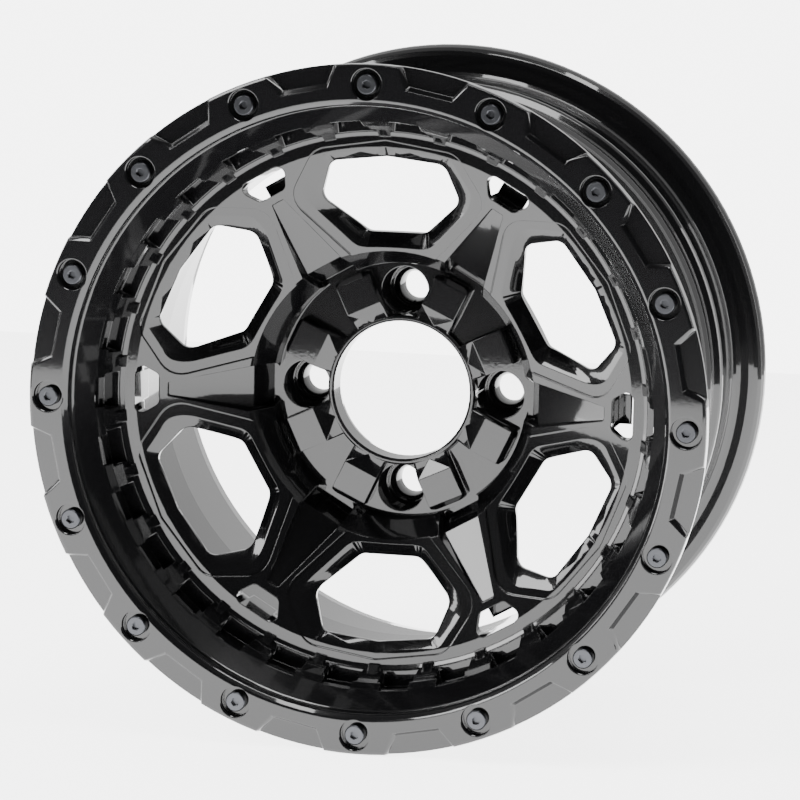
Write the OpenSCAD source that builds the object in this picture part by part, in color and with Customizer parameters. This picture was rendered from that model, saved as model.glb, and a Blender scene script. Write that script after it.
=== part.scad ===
// Cast alloy wheel with a bolted outer ring.
// The wheel stands upright: its axis runs along Y, the outer face looks to -Y.
// Each solid is drawn along its own axis first, with z as the depth behind the
// outer face, and is then turned into place by stand_up().

/* [Rim] */
// Diameter over the two flanges
flange_d = 340; // [330:1:350]
// Diameter of the bead seats
bead_seat_d = 304.8; // [300:0.1:310]
// Width between the two bead seat flanges
bead_width = 177.8; // [165:0.1:190]
// Thickness of the outer flange, ring and casting lip together
outer_flange_t = 14.5; // [12:0.5:18]
// Thickness of the inner flange
inner_flange_t = 10.2; // [8:0.1:14]
// Diameter of the drop well
well_d = 268; // [262:1:276]
// Wall thickness of the barrel at the well
barrel_wall = 5.5; // [4:0.5:7]

/* [Outer ring] */
// Thickness of the bolted ring
ring_t = 8.5; // [7:0.5:10]
// Inner diameter of the ring
ring_inner_d = 299.6; // [296:0.2:304]
// Number of ring screws
screw_count = 16; // [8:1:20]
// Diameter of the circle of ring screws
screw_circle_d = 320.3; // [318:0.1:322]
// Diameter of the sunk seat round each screw head
screw_seat_d = 15.6; // [14:0.2:16]
// Depth of the screw seats and of the scallops between them
scallop_depth = 4.5; // [3:0.5:5]
// Radius at which the scallops begin
scallop_start_r = 158.5; // [156:0.5:162]
// Half width of a scallop where it begins
scallop_half_w = 11.9; // [8:0.1:14]
// Angle at which the sides of a scallop open outwards
scallop_side_angle = 32; // [10:1:40]

/* [Ring screws] */
// Thread diameter
screw_d = 6; // [5:1:6]
// Head diameter
screw_head_d = 10; // [8.5:0.5:11]
// Head height
screw_head_h = 4; // [3:0.5:4]
// Width of the hexagon socket across its flats
socket_w = 4; // [3:0.5:5]
// Length under the head
screw_length = 9.5; // [8:0.5:9.5]

/* [Dish] */
// Depth of the spoke ends behind the outer face
dish_depth = 40; // [36:1:42]
// Radius of the foot of the dish wall
dish_foot_r = 135.4; // [134:0.2:137]
// Number of pockets round the dish wall
pocket_count = 30; // [12:6:30]
// Width of a pocket
pocket_w = 18; // [10:0.5:20]
// Width of the small gussets between the pockets
gusset_w = 5.6; // [3:0.2:7]

/* [Spokes] */
// Number of spokes, with a large window between each two
spoke_count = 6; // [6:1:6]
// Depth of the rim of a window at the hub
window_hub_depth = 61; // [58:1:64]
// Radius of the rim of a window at the hub
window_hub_r = 74; // [72:0.5:76]
// Depth of the step round each window
window_step = 1.3; // [0.8:0.1:2]
// Width of the step round each window
window_step_w = 3.4; // [2:0.1:4]
// Width of the rib behind each spoke
rib_w = 15; // [10:1:18]

/* [Hub] */
// Diameter of the centre bore
bore_d = 71; // [66:0.5:71]
// Number of lug holes
lug_count = 4; // [4:1:4]
// Diameter of the circle of lug holes
lug_circle_d = 101.6; // [100:0.1:103]
// Diameter of a lug hole
lug_hole_d = 15; // [13:0.5:15]
// Diameter of the cone seat of a lug nut at its open end
lug_seat_d = 20.6; // [18:0.2:21]
// Diameter of the clearance pocket for the nut and its wrench
lug_pocket_d = 24.4; // [22:0.2:25]
// Distance of the mounting face behind the middle of the rim
mount_inset = 21; // [18:0.5:23]
// Diameter of the mounting face
mount_face_d = 134; // [128:1:138]
// Diameter of the valve hole
valve_hole_d = 11.5; // [11.3:0.1:15.7]

/* [Hidden] */
$fn = 96;

rim_w = outer_flange_t + bead_width + inner_flange_t;
flange_r = flange_d / 2;
seat_r = bead_seat_d / 2;
well_r = well_d / 2;
barrel_r = well_r - barrel_wall;
ring_inner_r = ring_inner_d / 2;
screw_r = screw_circle_d / 2;
bore_r = bore_d / 2;
lug_r = lug_circle_d / 2;
mount_z = rim_w / 2 + mount_inset;
window_pitch = 360 / spoke_count;

// Gap left between the register of the casting and the rebate of the ring
register_gap = 0.3;
// Gap left round a screw in its holes
screw_gap = 0.3;
// Height of the register that centres the ring
register_h = 1.5;
// Width of the register that centres the ring
register_w = 2.8;
register_in_r = ring_inner_r - 0.2;
register_out_r = register_in_r + register_w;
rebate_r = register_out_r + register_gap;
// Length by which cutters run past the faces that they cut
past = 3;

bead_front_z = outer_flange_t;
bead_rear_z = outer_flange_t + bead_width;
// The lip that carries the ring stays a little inside the flange
lip_r = flange_r - 1.5;
// Radius between a bead seat and its flange
bead_fillet = 5.5;
// Thickness left under the nut pockets
lug_floor_z = mount_z - 15;
// The cone seats narrow at 60 degrees in all
lug_seat_depth = (lug_seat_d - lug_hole_d) / 2 / tan(30);
// Depths of the raised pads, of the hub floor and of the front of the bore
pad_z = 80;
hub_floor_z = 89;
bore_front_z = 84.5;
// Radius of the wall round the hub floor
hub_wall_r = 66;
// Depth of the valve hole, in the wall of the well
valve_z = 66;
// Outer radius of the sloping face between the windows
face_r = 127;
// The sunk wedge on a spoke, radius and depth of its floor at the hub and at its tip
spoke_floor_in = [74, 72];
spoke_floor_out = [113, 47];
// Middles of the corner arcs of a window, across and outwards, on the face
window_rim = [[14.5, 79], [36.5, 101], [29, 114.5], [0, 119], [-29, 114.5], [-36.5, 101], [-14.5, 79]];
// The same at the narrowest place of the window
window_throat = [[12.5, 88.3], [28.5, 102], [24.5, 113.5], [0, 116.3],
    [-24.5, 113.5], [-28.5, 102], [-12.5, 88.3]];
rim_corner_r = 8;
throat_corner_r = 6;

// Points of an arc round c, from angle a to angle b, in n steps
function arc(c, r, a, b, n) =
    [for (i = [0:n]) c + r * [cos(a + (b - a) * i / n), sin(a + (b - a) * i / n)]];

// Depth of the face that carries the window rims, at radius r
function face_z(r) =
    window_hub_depth + (dish_depth - window_hub_depth) * (r - window_hub_r) / (face_r - window_hub_r);

// Depth of the throat of a window, shallow at the dish and deep at the hub
function throat_z(y) = 44 + (116 - y) * 0.42 + max(0, 102 - y) * 0.95;

// Direction square to the right of the way from a to b
function heading(a, b) = atan2(b[1] - a[1], b[0] - a[0]) - 90;

// Angle b, or the same angle one turn on if it lies before a
function turn(a, b) = b < a ? b + 360 : b;

// A convex outline of corner middles p, set out by r with round corners
function rounded(p, r, n = 5) =
    [for (i = [0:len(p) - 1])
        let (before = heading(p[(i + len(p) - 1) % len(p)], p[i]),
             after = turn(before, heading(p[i], p[(i + 1) % len(p)])))
        each arc(p[i], r, before, after, n)];

// Turns a solid drawn along z so that its depth runs to +Y from the outer face
module stand_up() {
    translate([0, -rim_w / 2, 0]) rotate([-90, 0, 0]) children();
}

// Repeats its children round the axis
module around(count, start = 0) {
    for (i = [0:count - 1]) rotate([0, 0, start + i * 360 / count]) children();
}

// A bar along the radius: its outline is drawn as radius and depth, w is its width
module radial_bar(w, outline) {
    translate([0, w / 2, 0]) rotate([90, 0, 0]) linear_extrude(w) polygon(outline);
}

// The outline of the casting, radius and depth, from the lip round to the bore
outer_side = concat(
    [[lip_r - 1, ring_t], [lip_r, ring_t + 1], [lip_r, bead_front_z - 1.5], [lip_r - 1.5, bead_front_z]],
    arc([seat_r + bead_fillet, bead_front_z + bead_fillet], bead_fillet, 270, 180, 4),
    [[seat_r - 1.4, 36], [seat_r, 38.5], [seat_r, 41], [seat_r - 5, 45],
     [well_r + 2, 54], [well_r, 57], [well_r, 92], [well_r + 2, 95],
     [seat_r - 5.5, 106], [seat_r - 4, 108.5], [seat_r - 4, 138],
     [seat_r - 2.2, 141], [seat_r - 2.2, 149], [seat_r - 3.4, 151], [seat_r - 3.4, 157]],
    arc([seat_r - 2.6, 162], 3.4, -50, 50, 4),
    [[seat_r - 2, 167.5]],
    arc([seat_r + bead_fillet, bead_rear_z - bead_fillet], bead_fillet, 180, 90, 4),
    arc([flange_r - 8, bead_rear_z + 8], 8, 270, 360, 5),
    arc([flange_r - 1.5, rim_w - 1.5], 1.5, 30, 90, 2)
);
rear_side = [[151.5, rim_w], [149.5, rim_w - 2], [147.5, 188], [146, 160], [143.5, 112],
    [141.5, 108], [barrel_r + 2, 96.5], [barrel_r, 93], [barrel_r, 58], [126.5, 50.5], [122, 48],
    [108, 56], [84, 74], [73, 90], [68.5, 100], [mount_face_d / 2, mount_z - 2],
    [mount_face_d / 2 - 2, mount_z], [43, mount_z], [42, mount_z - 1], [38, 108.5], [bore_r, 98]];
front_side = [[bore_r, bore_front_z + 1], [bore_r + 1, bore_front_z], [bore_r + 2, bore_front_z],
    [bore_r + 3, bore_front_z + 1], [bore_r + 3.4, hub_floor_z], [hub_wall_r - 0.5, hub_floor_z],
    [hub_wall_r, pad_z], [window_hub_r, window_hub_depth], [face_r, dish_depth],
    [dish_foot_r - 2.4, dish_depth], [dish_foot_r - 0.5, dish_depth - 1.3],
    [138.7, 23.5], [141, 19], [register_in_r - 0.6, ring_t - register_h + 0.6],
    [register_in_r, ring_t - register_h], [register_out_r, ring_t - register_h], [register_out_r, ring_t]];

// The turned body of the casting, before windows and holes
module casting_blank() {
    rotate_extrude() polygon(concat(outer_side, rear_side, front_side));
}

// One large window: a sloping edge from its rim on the face down to its throat
module window_edge() {
    hull() {
        for (c = window_rim)
            translate([c[0], c[1], face_z(norm(c) + rim_corner_r * 0.6) - 2])
                cylinder(r = rim_corner_r + 2, h = 0.5, $fn = 32);
        for (c = window_throat)
            translate([c[0], c[1], throat_z(c[1])]) cylinder(r = throat_corner_r, h = 0.5, $fn = 32);
    }
}

// The straight part of a large window, through the rear of the face
module window_through() {
    translate([0, 0, dish_depth - past]) linear_extrude(60) polygon(rounded(window_throat, throat_corner_r));
}

// The step that frames each window, sunk below the face
module window_steps() {
    intersection() {
        rotate_extrude() polygon([[60, 40], [60, face_z(60) + window_step],
            [face_r, dish_depth + window_step], [132.4, dish_depth + window_step], [132.4, 30], [60, 30]]);
        around(spoke_count, window_pitch / 2) rotate([0, 0, -90])
            linear_extrude(90) polygon(rounded(window_rim, rim_corner_r + window_step_w));
    }
}

// The small window in the fork at the outer end of each spoke
module fork_window() {
    rotate([0, 0, -90]) translate([0, 0, dish_depth - 15])
        linear_extrude(40) polygon(rounded([[5.5, 119.5], [8.3, 124], [-8.3, 124], [-5.5, 119.5]], 3.5));
}

// The wedge sunk into the face of a spoke, deepening to the hub
module spoke_wedge() {
    intersection() {
        translate([0, 0, 20]) linear_extrude(80)
            polygon(rounded([[66, -10.5], [73, -10.5], [111, -2.6], [111, 2.6], [73, 10.5], [66, 10.5]], 1));
        radial_bar(40, [[60, 30], [118, 30], spoke_floor_out, spoke_floor_in,
            [68, hub_floor_z], [60, hub_floor_z]]);
    }
}

// The rib that stiffens a spoke from behind
module spoke_rib() {
    radial_bar(rib_w, [[60, 96], [108, 54], [129.5, 48], [131, 62], [120, 66], [90, 84], [66, 112], [60, 112]]);
}

// A pocket sunk into the dish wall, with a shallower step in front of it
module dish_pocket() {
    radial_bar(pocket_w, [[125, 24.5], [142.2, 24.5], [143.2, 37.6], [125, 37.6]]);
    radial_bar(pocket_w - 3, [[130, 18.5], [142.9, 18.5], [141, 26], [130, 26]]);
}

// A small web in the corner between the dish wall and the flat below it
module gusset() {
    radial_bar(gusset_w, [[132.6, dish_depth + 1], [132.6, dish_depth - 1.2], [137, 32], [141, 32],
        [141, dish_depth + 1]]);
}

// The raised pads that flank each lug pocket
module hub_pad() {
    intersection() {
        radial_bar(18.5, [[bore_r + 1.6, bore_front_z + 0.4], [45.5, pad_z], [60.5, pad_z],
            [63.5, pad_z + 3], [64, hub_floor_z + 1], [bore_r + 1.6, hub_floor_z + 1]]);
        translate([0, 0, pad_z - 5]) linear_extrude(20)
            polygon(rounded([[30, -6], [58, -6], [58, 6], [30, 6]], 5));
    }
}

// Nut pocket, cone seat and hole of one lug
module lug_hole() {
    translate([lug_r, 0, 0]) {
        translate([0, 0, window_hub_depth]) cylinder(d = lug_pocket_d, h = lug_floor_z - window_hub_depth);
        translate([0, 0, lug_floor_z]) cylinder(d1 = lug_seat_d, d2 = lug_hole_d, h = lug_seat_depth);
        translate([0, 0, lug_floor_z]) cylinder(d = lug_hole_d, h = mount_z - lug_floor_z + past);
    }
}

// Round holes on the circle of ring screws, between two depths
module screw_holes(d, from, to) {
    around(screw_count) translate([screw_r, 0, from]) cylinder(d = d, h = to - from);
}

module wheel_casting() {
    color([0.045, 0.045, 0.048]) stand_up() difference() {
        union() {
            casting_blank();
            around(spoke_count) spoke_rib();
            around(pocket_count, 180 / pocket_count) gusset();
            around(lug_count) for (side = [-25, 25]) rotate([0, 0, side]) hub_pad();
        }
        around(spoke_count, window_pitch / 2) rotate([0, 0, -90]) {
            window_edge();
            window_through();
        }
        window_steps();
        around(spoke_count) {
            spoke_wedge();
            fork_window();
        }
        around(pocket_count) dish_pocket();
        around(lug_count) lug_hole();
        screw_holes(screw_d + 2 * screw_gap, ring_t - past, bead_front_z + past);
        rotate([0, 0, -90]) translate([0, 0, valve_z]) rotate([0, 90, 0])
            translate([0, 0, barrel_r - past]) cylinder(d = valve_hole_d, h = barrel_wall + 2 * past);
    }
}

// A flat wall that leans back as it goes deeper, on one side of a scallop
module scallop_side() {
    translate([scallop_start_r, scallop_half_w, 0]) rotate([0, 0, scallop_side_angle])
        rotate([90, 0, 90]) translate([0, 0, -60]) linear_extrude(120)
        polygon([[-80, -past], [past * 0.4, -past], [-scallop_depth * 0.4, scallop_depth],
            [-80, scallop_depth]]);
}

// One scallop in the face of the ring, open at the rim
module scallop() {
    intersection() {
        radial_bar(80, [[scallop_start_r - 1, -past], [scallop_start_r, 0],
            [scallop_start_r + 2, scallop_depth], [flange_r + past, scallop_depth], [flange_r + past, -past]]);
        scallop_side();
        mirror([0, 1, 0]) scallop_side();
    }
}

module outer_ring() {
    color([0.05, 0.05, 0.053]) stand_up() difference() {
        rotate_extrude() polygon([[ring_inner_r, ring_t - register_h - register_gap], [ring_inner_r, 3],
            [ring_inner_r + 0.6, 2], [ring_inner_r + 2.2, 0.5], [ring_inner_r + 3, 0],
            [flange_r - 1.6, 0], [flange_r - 0.4, 0.5], [flange_r, 1.6], [flange_r, ring_t - 1],
            [flange_r - 1, ring_t], [rebate_r, ring_t], [rebate_r, ring_t - register_h - register_gap]]);
        around(screw_count, 180 / screw_count) scallop();
        screw_holes(screw_seat_d, -past, scallop_depth);
        screw_holes(screw_d + 2 * screw_gap, 0, ring_t + past);
    }
}

// One ring screw: a low head with a hexagon socket, on a plain shank
module ring_screw() {
    head_z = scallop_depth - screw_head_h;
    difference() {
        rotate_extrude() polygon([[0, head_z], [screw_head_d / 2 - 0.6, head_z],
            [screw_head_d / 2, head_z + 0.6], [screw_head_d / 2, scallop_depth], [screw_d / 2, scallop_depth],
            [screw_d / 2, scallop_depth + screw_length - 0.8],
            [screw_d / 2 - 0.8, scallop_depth + screw_length], [0, scallop_depth + screw_length]]);
        translate([0, 0, head_z - 1]) cylinder(d = socket_w / cos(30), h = 3.3, $fn = 6);
    }
}

module ring_screws() {
    color([0.16, 0.16, 0.17]) stand_up() around(screw_count) translate([screw_r, 0, 0]) ring_screw();
}

wheel_casting();
outer_ring();
ring_screws();
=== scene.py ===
"""Studio scene of a deep-dish cast alloy wheel with a bolted outer ring.

The wheel stands upright with its axis along Y and its outer face towards -Y.
All sizes are in metres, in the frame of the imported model.
"""

import logging
import math
from dataclasses import dataclass

import bmesh
import bpy
from mathutils import Matrix, Vector


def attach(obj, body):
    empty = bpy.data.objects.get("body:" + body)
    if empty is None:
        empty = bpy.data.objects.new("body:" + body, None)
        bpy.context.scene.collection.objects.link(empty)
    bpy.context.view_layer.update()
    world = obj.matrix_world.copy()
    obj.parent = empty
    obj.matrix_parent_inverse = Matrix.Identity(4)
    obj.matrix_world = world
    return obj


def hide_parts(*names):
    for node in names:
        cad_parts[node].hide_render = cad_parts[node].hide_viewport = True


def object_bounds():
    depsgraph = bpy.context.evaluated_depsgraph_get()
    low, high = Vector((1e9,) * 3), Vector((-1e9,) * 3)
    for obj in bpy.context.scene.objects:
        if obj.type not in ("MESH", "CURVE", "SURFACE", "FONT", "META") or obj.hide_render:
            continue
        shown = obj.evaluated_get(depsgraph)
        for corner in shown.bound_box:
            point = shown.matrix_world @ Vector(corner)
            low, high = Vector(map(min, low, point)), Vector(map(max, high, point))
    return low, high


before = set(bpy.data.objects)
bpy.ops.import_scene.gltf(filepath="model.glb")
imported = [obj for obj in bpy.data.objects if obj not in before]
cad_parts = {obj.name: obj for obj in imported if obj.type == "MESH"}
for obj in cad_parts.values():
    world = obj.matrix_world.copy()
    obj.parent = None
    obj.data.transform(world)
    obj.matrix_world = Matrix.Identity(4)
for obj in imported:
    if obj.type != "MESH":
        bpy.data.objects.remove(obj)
CAD_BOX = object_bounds()

log = logging.getLogger("wheel_scene")
MM = 0.001
# Rays that round an edge in the two finishes
EDGE_SAMPLES = 6
WHITE = (1.0, 1.0, 1.0, 1.0)


def linear(hex_colour: str) -> tuple[float, float, float, float]:
    """Turns an sRGB hex colour into linear RGBA.

    Args:
        hex_colour: Six hex digits, such as "1a1b1c".

    Returns:
        The colour as linear red, green, blue and an alpha of 1.
    """
    channels = [int(hex_colour[i:i + 2], 16) / 255 for i in (0, 2, 4)]
    bent = [c / 12.92 if c <= 0.04045 else ((c + 0.055) / 1.055) ** 2.4 for c in channels]
    return (bent[0], bent[1], bent[2], 1.0)


def add_node(
    material: bpy.types.Material | bpy.types.World,
    kind: str,
    settings: dict[str, object] | None = None,
    links: dict[str, bpy.types.NodeSocket] | None = None,
) -> bpy.types.Node:
    """Adds one shader node with its settings and links.

    Args:
        material: The material or world that the node goes into.
        kind: The node's type name, such as "ShaderNodeTexNoise".
        settings: Attribute or input names and their values.
        links: Input names and the sockets that feed them.

    Returns:
        The new node.
    """
    node = material.node_tree.nodes.new(kind)
    for name, value in (settings or {}).items():
        if name in node.inputs:
            node.inputs[name].default_value = value
        else:
            setattr(node, name, value)
    for name, socket in (links or {}).items():
        material.node_tree.links.new(socket, node.inputs[name])
    return node


@dataclass(frozen=True)
class SprayedEnamel:
    """Gloss black two-coat enamel sprayed on a casting: deep colour under a clear, slightly rippled coat."""

    name: str
    colour: str = "0b0b0c"
    roughness: float = 0.22
    coat_roughness: float = 0.035
    base_ior: float = 1.5
    base_specular: float = 0.12
    coat_ior: float = 1.55
    ripple_mm: float = 2.2
    ripple_depth_mm: float = 0.004
    ripple_detail: float = 2.0
    ripple_fineness: float = 0.45
    edge_mm: float = 0.8

    def make(self) -> bpy.types.Material:
        """Builds the material.

        Returns:
            The enamel as a material of shader nodes.
        """
        material = bpy.data.materials.new(self.name)
        material.use_nodes = True
        material.node_tree.nodes.clear()
        place = add_node(material, "ShaderNodeTexCoord")
        ripple = add_node(
            material,
            "ShaderNodeTexNoise",
            {
                "Scale": 1 / (self.ripple_mm * MM),
                "Detail": self.ripple_detail,
                "Roughness": self.ripple_fineness,
            },
            {"Vector": place.outputs["Object"]},
        )
        edge = add_node(material, "ShaderNodeBevel", {"samples": EDGE_SAMPLES, "Radius": self.edge_mm * MM})
        bump = add_node(
            material,
            "ShaderNodeBump",
            {"Strength": 1.0, "Distance": self.ripple_depth_mm * MM},
            {"Height": ripple.outputs["Fac"], "Normal": edge.outputs["Normal"]},
        )
        shader = add_node(
            material,
            "ShaderNodeBsdfPrincipled",
            {
                "Base Color": linear(self.colour),
                "Roughness": self.roughness,
                "IOR": self.base_ior,
                "Specular IOR Level": self.base_specular,
                "Coat Weight": 1.0,
                "Coat Roughness": self.coat_roughness,
                "Coat IOR": self.coat_ior,
            },
            {"Normal": bump.outputs["Normal"], "Coat Normal": bump.outputs["Normal"]},
        )
        add_node(material, "ShaderNodeOutputMaterial", {}, {"Surface": shader.outputs["BSDF"]})
        return material


@dataclass(frozen=True)
class BlackenedSteel:
    """Black oxide on a cold-headed steel screw: a thin dark film that lets the metal shine through."""

    name: str
    colour: str = "4c4d50"
    roughness: float = 0.3
    smoothest: float = 0.07
    roughest: float = 0.1
    blotch_mm: float = 1.6
    blotch_detail: float = 3.0
    edge_mm: float = 0.35

    def make(self) -> bpy.types.Material:
        """Builds the material.

        Returns:
            The steel as a material of shader nodes.
        """
        material = bpy.data.materials.new(self.name)
        material.use_nodes = True
        material.node_tree.nodes.clear()
        place = add_node(material, "ShaderNodeTexCoord")
        blotch = add_node(
            material,
            "ShaderNodeTexNoise",
            {"Scale": 1 / (self.blotch_mm * MM), "Detail": self.blotch_detail},
            {"Vector": place.outputs["Object"]},
        )
        rough = add_node(
            material,
            "ShaderNodeMapRange",
            {"To Min": self.roughness - self.smoothest, "To Max": self.roughness + self.roughest},
            {"Value": blotch.outputs["Fac"]},
        )
        edge = add_node(material, "ShaderNodeBevel", {"samples": EDGE_SAMPLES, "Radius": self.edge_mm * MM})
        shader = add_node(
            material,
            "ShaderNodeBsdfPrincipled",
            {"Base Color": linear(self.colour), "Metallic": 1.0},
            {"Roughness": rough.outputs["Result"], "Normal": edge.outputs["Normal"]},
        )
        add_node(material, "ShaderNodeOutputMaterial", {}, {"Surface": shader.outputs["BSDF"]})
        return material


@dataclass(frozen=True)
class PhotoCamera:
    """The camera of the photograph, fitted to the wheel's two rims and its ring screws."""

    yaw_deg: float = 13.56
    pitch_deg: float = 8.70
    roll_deg: float = 1.18
    place: tuple[float, float, float] = (0.4281, -1.7936, 0.2747)
    focal_px: float = 3635.0
    picture_px: float = 800.0
    sensor_mm: float = 36.0
    sight_m: float = 50.0

    def axes(self) -> Matrix:
        """Works out how the camera is turned.

        Returns:
            A 3x3 matrix whose columns point right, up and back from the camera.
        """
        yaw, pitch, roll = (math.radians(a) for a in (self.yaw_deg, self.pitch_deg, self.roll_deg))
        right = Vector((math.cos(yaw), math.sin(yaw), 0.0))
        back = Vector((math.sin(yaw) * math.cos(pitch), -math.cos(yaw) * math.cos(pitch), math.sin(pitch)))
        up = back.cross(right)
        turned_right = right * math.cos(roll) + up * math.sin(roll)
        turned_up = up * math.cos(roll) - right * math.sin(roll)
        return Matrix((turned_right, turned_up, back)).transposed()

    def build(self) -> bpy.types.Object:
        """Creates the camera and makes it the scene's.

        Returns:
            The camera object.
        """
        data = bpy.data.cameras.new("photo_camera")
        data.sensor_width = self.sensor_mm
        data.lens = self.focal_px / self.picture_px * self.sensor_mm
        data.clip_end = self.sight_m
        camera = bpy.data.objects.new("photo_camera", data)
        camera.matrix_world = Matrix.Translation(self.place) @ self.axes().to_4x4()
        bpy.context.scene.collection.objects.link(camera)
        bpy.context.scene.camera = camera
        return camera


@dataclass(frozen=True)
class Softbox:
    """A rectangular soft lamp that looks at the middle of the wheel."""

    name: str
    place: tuple[float, float, float]
    size: tuple[float, float]
    power: float

    def build(self) -> bpy.types.Object:
        """Hangs the lamp.

        Returns:
            The lamp object.
        """
        data = bpy.data.lights.new(self.name, "AREA")
        data.shape = "RECTANGLE"
        data.size, data.size_y = self.size
        data.energy = self.power
        lamp = bpy.data.objects.new(self.name, data)
        place = Vector(self.place)
        turn = (-place).to_track_quat("-Z", "Y")
        lamp.matrix_world = Matrix.Translation(place) @ turn.to_matrix().to_4x4()
        bpy.context.scene.collection.objects.link(lamp)
        return lamp


@dataclass
class Studio:
    """A lit white table, a surround that is white behind and dark in front, and soft lamps."""

    floor_z: float = CAD_BOX[0][2]
    table_half: float = 1.3
    backdrop: float = 6.0
    table_colour: str = "f2f2f2"
    table_roughness: float = 0.6
    table_glow: float = 4.2
    front_glow: float = 0.035
    behind_glow: float = 1.0
    front_edge: float = -0.35
    behind_edge: float = 0.25
    softboxes: tuple[Softbox, ...] = (
        Softbox("key_softbox", (-1.35, -1.25, 1.35), (0.9, 0.9), 34.0),
        Softbox("left_strip", (-1.6, -0.55, 0.15), (0.35, 1.3), 14.0),
        Softbox("top_softbox", (0.25, -0.5, 1.9), (1.1, 0.5), 20.0),
        Softbox("right_strip", (1.7, 0.1, 0.3), (0.4, 1.4), 10.0),
    )

    def floor(self) -> bpy.types.Object:
        """Builds the table top, a sheet of pale acrylic lit from below.

        Returns:
            The floor object.
        """
        shape = bmesh.new()
        bmesh.ops.create_grid(shape, x_segments=1, y_segments=1, size=self.table_half)
        bmesh.ops.translate(shape, verts=shape.verts, vec=(0.0, 0.0, self.floor_z))
        mesh = bpy.data.meshes.new("studio_floor")
        shape.to_mesh(mesh)
        shape.free()
        floor = bpy.data.objects.new("studio_floor", mesh)
        material = bpy.data.materials.new("pale_acrylic_light_table")
        material.use_nodes = True
        shader = material.node_tree.nodes["Principled BSDF"]
        shader.inputs["Base Color"].default_value = linear(self.table_colour)
        shader.inputs["Roughness"].default_value = self.table_roughness
        shader.inputs["Emission Color"].default_value = WHITE
        shader.inputs["Emission Strength"].default_value = self.table_glow
        mesh.materials.append(material)
        bpy.context.scene.collection.objects.link(floor)
        return floor

    def surround(self) -> None:
        """Sets the world: white to the camera and behind the wheel, dark in front of it."""
        world = bpy.data.worlds.new("studio_surround")
        world.use_nodes = True
        background = world.node_tree.nodes["Background"]
        background.inputs["Color"].default_value = WHITE
        place = add_node(world, "ShaderNodeTexCoord")
        parts = add_node(world, "ShaderNodeSeparateXYZ", {}, {"Vector": place.outputs["Generated"]})
        depth = add_node(
            world,
            "ShaderNodeMapRange",
            {
                "interpolation_type": "SMOOTHSTEP",
                "From Min": self.front_edge,
                "From Max": self.behind_edge,
                "To Min": self.front_glow,
                "To Max": self.behind_glow,
            },
            {"Value": parts.outputs["Y"]},
        )
        ray = add_node(world, "ShaderNodeLightPath")
        strength = add_node(
            world,
            "ShaderNodeMix",
            {"B": self.backdrop},
            {"Factor": ray.outputs["Is Camera Ray"], "A": depth.outputs["Result"]},
        )
        world.node_tree.links.new(strength.outputs["Result"], background.inputs["Strength"])
        bpy.context.scene.world = world

    def build(self) -> None:
        """Builds the whole studio."""
        self.floor()
        self.surround()
        for softbox in self.softboxes:
            softbox.build()


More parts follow.
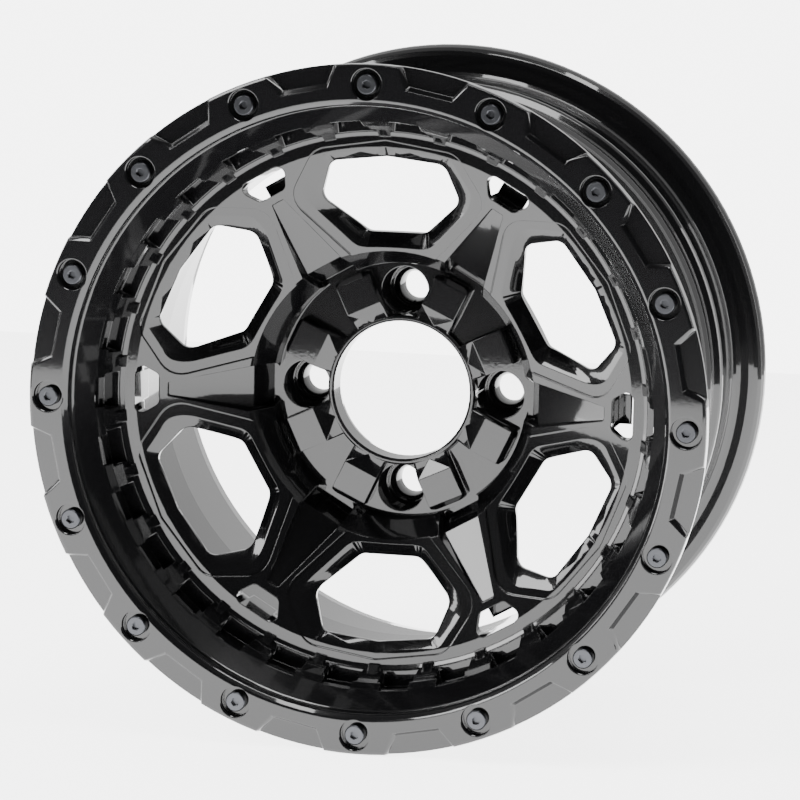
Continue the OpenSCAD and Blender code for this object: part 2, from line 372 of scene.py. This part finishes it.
@dataclass
class MachinedPart:
    """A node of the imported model, merged and shaded as the turned and cast surfaces that it stands for."""

    node: str
    name: str
    slot: str
    merge_mm: float = 0.002
    sharp_deg: float = 27.0
    shortest_path_mm: float = 0.05
    turned_tolerance_mm: float = 0.012
    agreement: float = 0.985
    # Thin slivers have poor normals of their own, so less agreement is asked of them
    sliver_mm2: float = 0.4
    sliver_agreement: float = 0.3

    def turned_normal(self, mesh: bpy.types.Mesh, face: bpy.types.MeshPolygon) -> tuple[float, float] | None:
        """Works out whether a face lies on a surface turned about Y.

        Args:
            mesh: The merged mesh.
            face: One of its faces.

        Returns:
            The outward and the Y part of the surface's true normal, or None for any other face.
        """
        corners = [mesh.vertices[index].co for index in face.vertices]
        path = [(math.hypot(corner.x, corner.z), corner.y) for corner in corners]
        ends = max(
            ((a, b) for a in path for b in path),
            key=lambda pair: math.dist(pair[0], pair[1]),
        )
        length = math.dist(ends[0], ends[1])
        if length < self.shortest_path_mm * MM:
            return None
        outward = (ends[1][1] - ends[0][1]) / length
        along = (ends[0][0] - ends[1][0]) / length
        offsets = [(r - ends[0][0]) * outward + (y - ends[0][1]) * along for r, y in path]
        if max(abs(offset) for offset in offsets) > self.turned_tolerance_mm * MM:
            return None
        reach = math.hypot(face.center.x, face.center.z)
        true_normal = Vector((outward * face.center.x / reach, along, outward * face.center.z / reach))
        found = true_normal.dot(face.normal)
        needed = self.sliver_agreement if face.area < self.sliver_mm2 * MM * MM else self.agreement
        if abs(found) < needed:
            return None
        side = math.copysign(1.0, found)
        return (side * outward, side * along)

    def turned_normals(self, mesh: bpy.types.Mesh) -> list[Vector]:
        """Gives every face corner on a turned surface its true normal.

        Args:
            mesh: The merged mesh.

        Returns:
            One normal per face corner; a zero vector leaves that corner as it is.
        """
        normals: list[Vector] = [Vector((0.0, 0.0, 0.0))] * len(mesh.loops)
        for face in mesh.polygons:
            found = self.turned_normal(mesh, face)
            if found is None:
                continue
            for index, vertex in zip(face.loop_indices, face.vertices):
                corner = mesh.vertices[vertex].co
                radius = math.hypot(corner.x, corner.z)
                normals[index] = Vector((found[0] * corner.x / radius, found[1], found[0] * corner.z / radius))
        return normals

    def build(self, finish: bpy.types.Material) -> bpy.types.Object:
        """Merges the node's faces, gives them their true normals and paints them.

        Args:
            finish: The finish of the part.

        Returns:
            The dressed part.
        """
        shape = bmesh.new()
        shape.from_mesh(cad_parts[self.node].data)
        bmesh.ops.remove_doubles(shape, verts=shape.verts, dist=self.merge_mm * MM)
        bmesh.ops.recalc_face_normals(shape, faces=shape.faces)
        for face in shape.faces:
            face.smooth = True
        mesh = bpy.data.meshes.new(self.name)
        shape.to_mesh(mesh)
        shape.free()
        mesh.set_sharp_from_angle(angle=math.radians(self.sharp_deg))
        mesh.normals_split_custom_set(self.turned_normals(mesh))
        mesh.materials.append(finish)
        piece = bpy.data.objects.new(self.name, mesh)
        bpy.context.scene.collection.objects.link(piece)
        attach(piece, "root")
        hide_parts(self.node)
        log.info("dressed %s: %d faces", self.name, len(mesh.polygons))
        return piece


def main() -> None:
    """Builds the wheel and its studio."""
    logging.basicConfig(level=logging.INFO)
    PhotoCamera().build()
    Studio().build()
    casting = MachinedPart("wheel_casting", "casting_body", "gloss_black_casting")
    casting.build(SprayedEnamel("gloss_black_casting_enamel").make())
    ring = MachinedPart("outer_ring", "bead_ring", "gloss_black_ring")
    ring.build(SprayedEnamel("gloss_black_ring_enamel", colour="0d0d0e", ripple_depth_mm=0.002).make())
    screws = MachinedPart("ring_screws", "ring_screw_set", "black_screw", sharp_deg=30.0)
    screws.build(BlackenedSteel("black_oxide_screw_steel").make())
    log.info("wrote the sizes")


if __name__ == "__main__":
    main()
